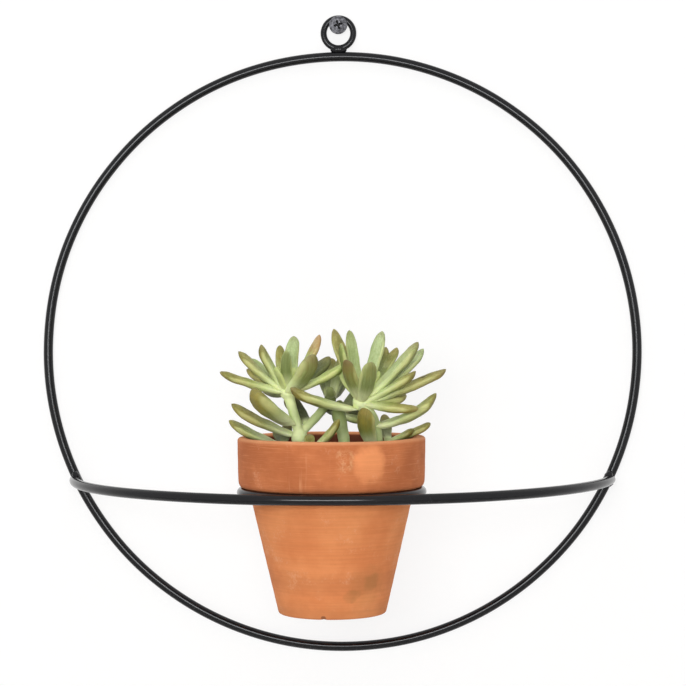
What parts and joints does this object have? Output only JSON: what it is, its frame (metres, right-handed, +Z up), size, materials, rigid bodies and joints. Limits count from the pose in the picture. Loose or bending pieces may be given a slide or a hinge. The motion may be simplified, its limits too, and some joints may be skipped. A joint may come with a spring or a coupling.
{
  "type": "wall planter",
  "caption": "Round wire hoop that hangs flat on a wall from a screw, with a level half-round bow and a ring that hold a tapered clay pot of succulents.",
  "frame": {"origin": "where the screw's axis meets the wall, at the back of the hoop", "axes": "+Z up, +X to the right as seen from the room, +Y into the wall, so the pot stands out along -Y"},
  "size_m": [0.356, 0.1787, 0.3775],
  "materials": {
    "black_coat": "satin",
    "screw_steel": "satin",
    "clay": "matte",
    "soil": "matte",
    "leaf": "satin"
  },
  "bodies": {
    "screw": {"wall_screw": "screw_steel"},
    "hanger": {"hanging_eyelet": "black_coat", "hoop": "black_coat", "front_bow": "black_coat", "pot_ring": "black_coat"},
    "pot": {"terracotta_pot": "clay", "potting_soil": "soil", "shoot_left": "leaf", "shoot_right": "leaf", "shoot_middle": "leaf", "shoot_front": "leaf", "shoot_low_left": "leaf", "shoot_low_right": "leaf"}
  },
  "joints": [
    {"name": "hanger_swing", "type": "hinge", "parent": "screw", "child": "hanger", "pos_m": [0, 0, 0], "axis": [0, 1, 0], "range_deg": [-30, 30]},
    {"name": "pot_lift", "type": "slide", "parent": "hanger", "child": "pot", "axis": [0, 0, 1], "range_m": [0, 0.1]}
  ]
}
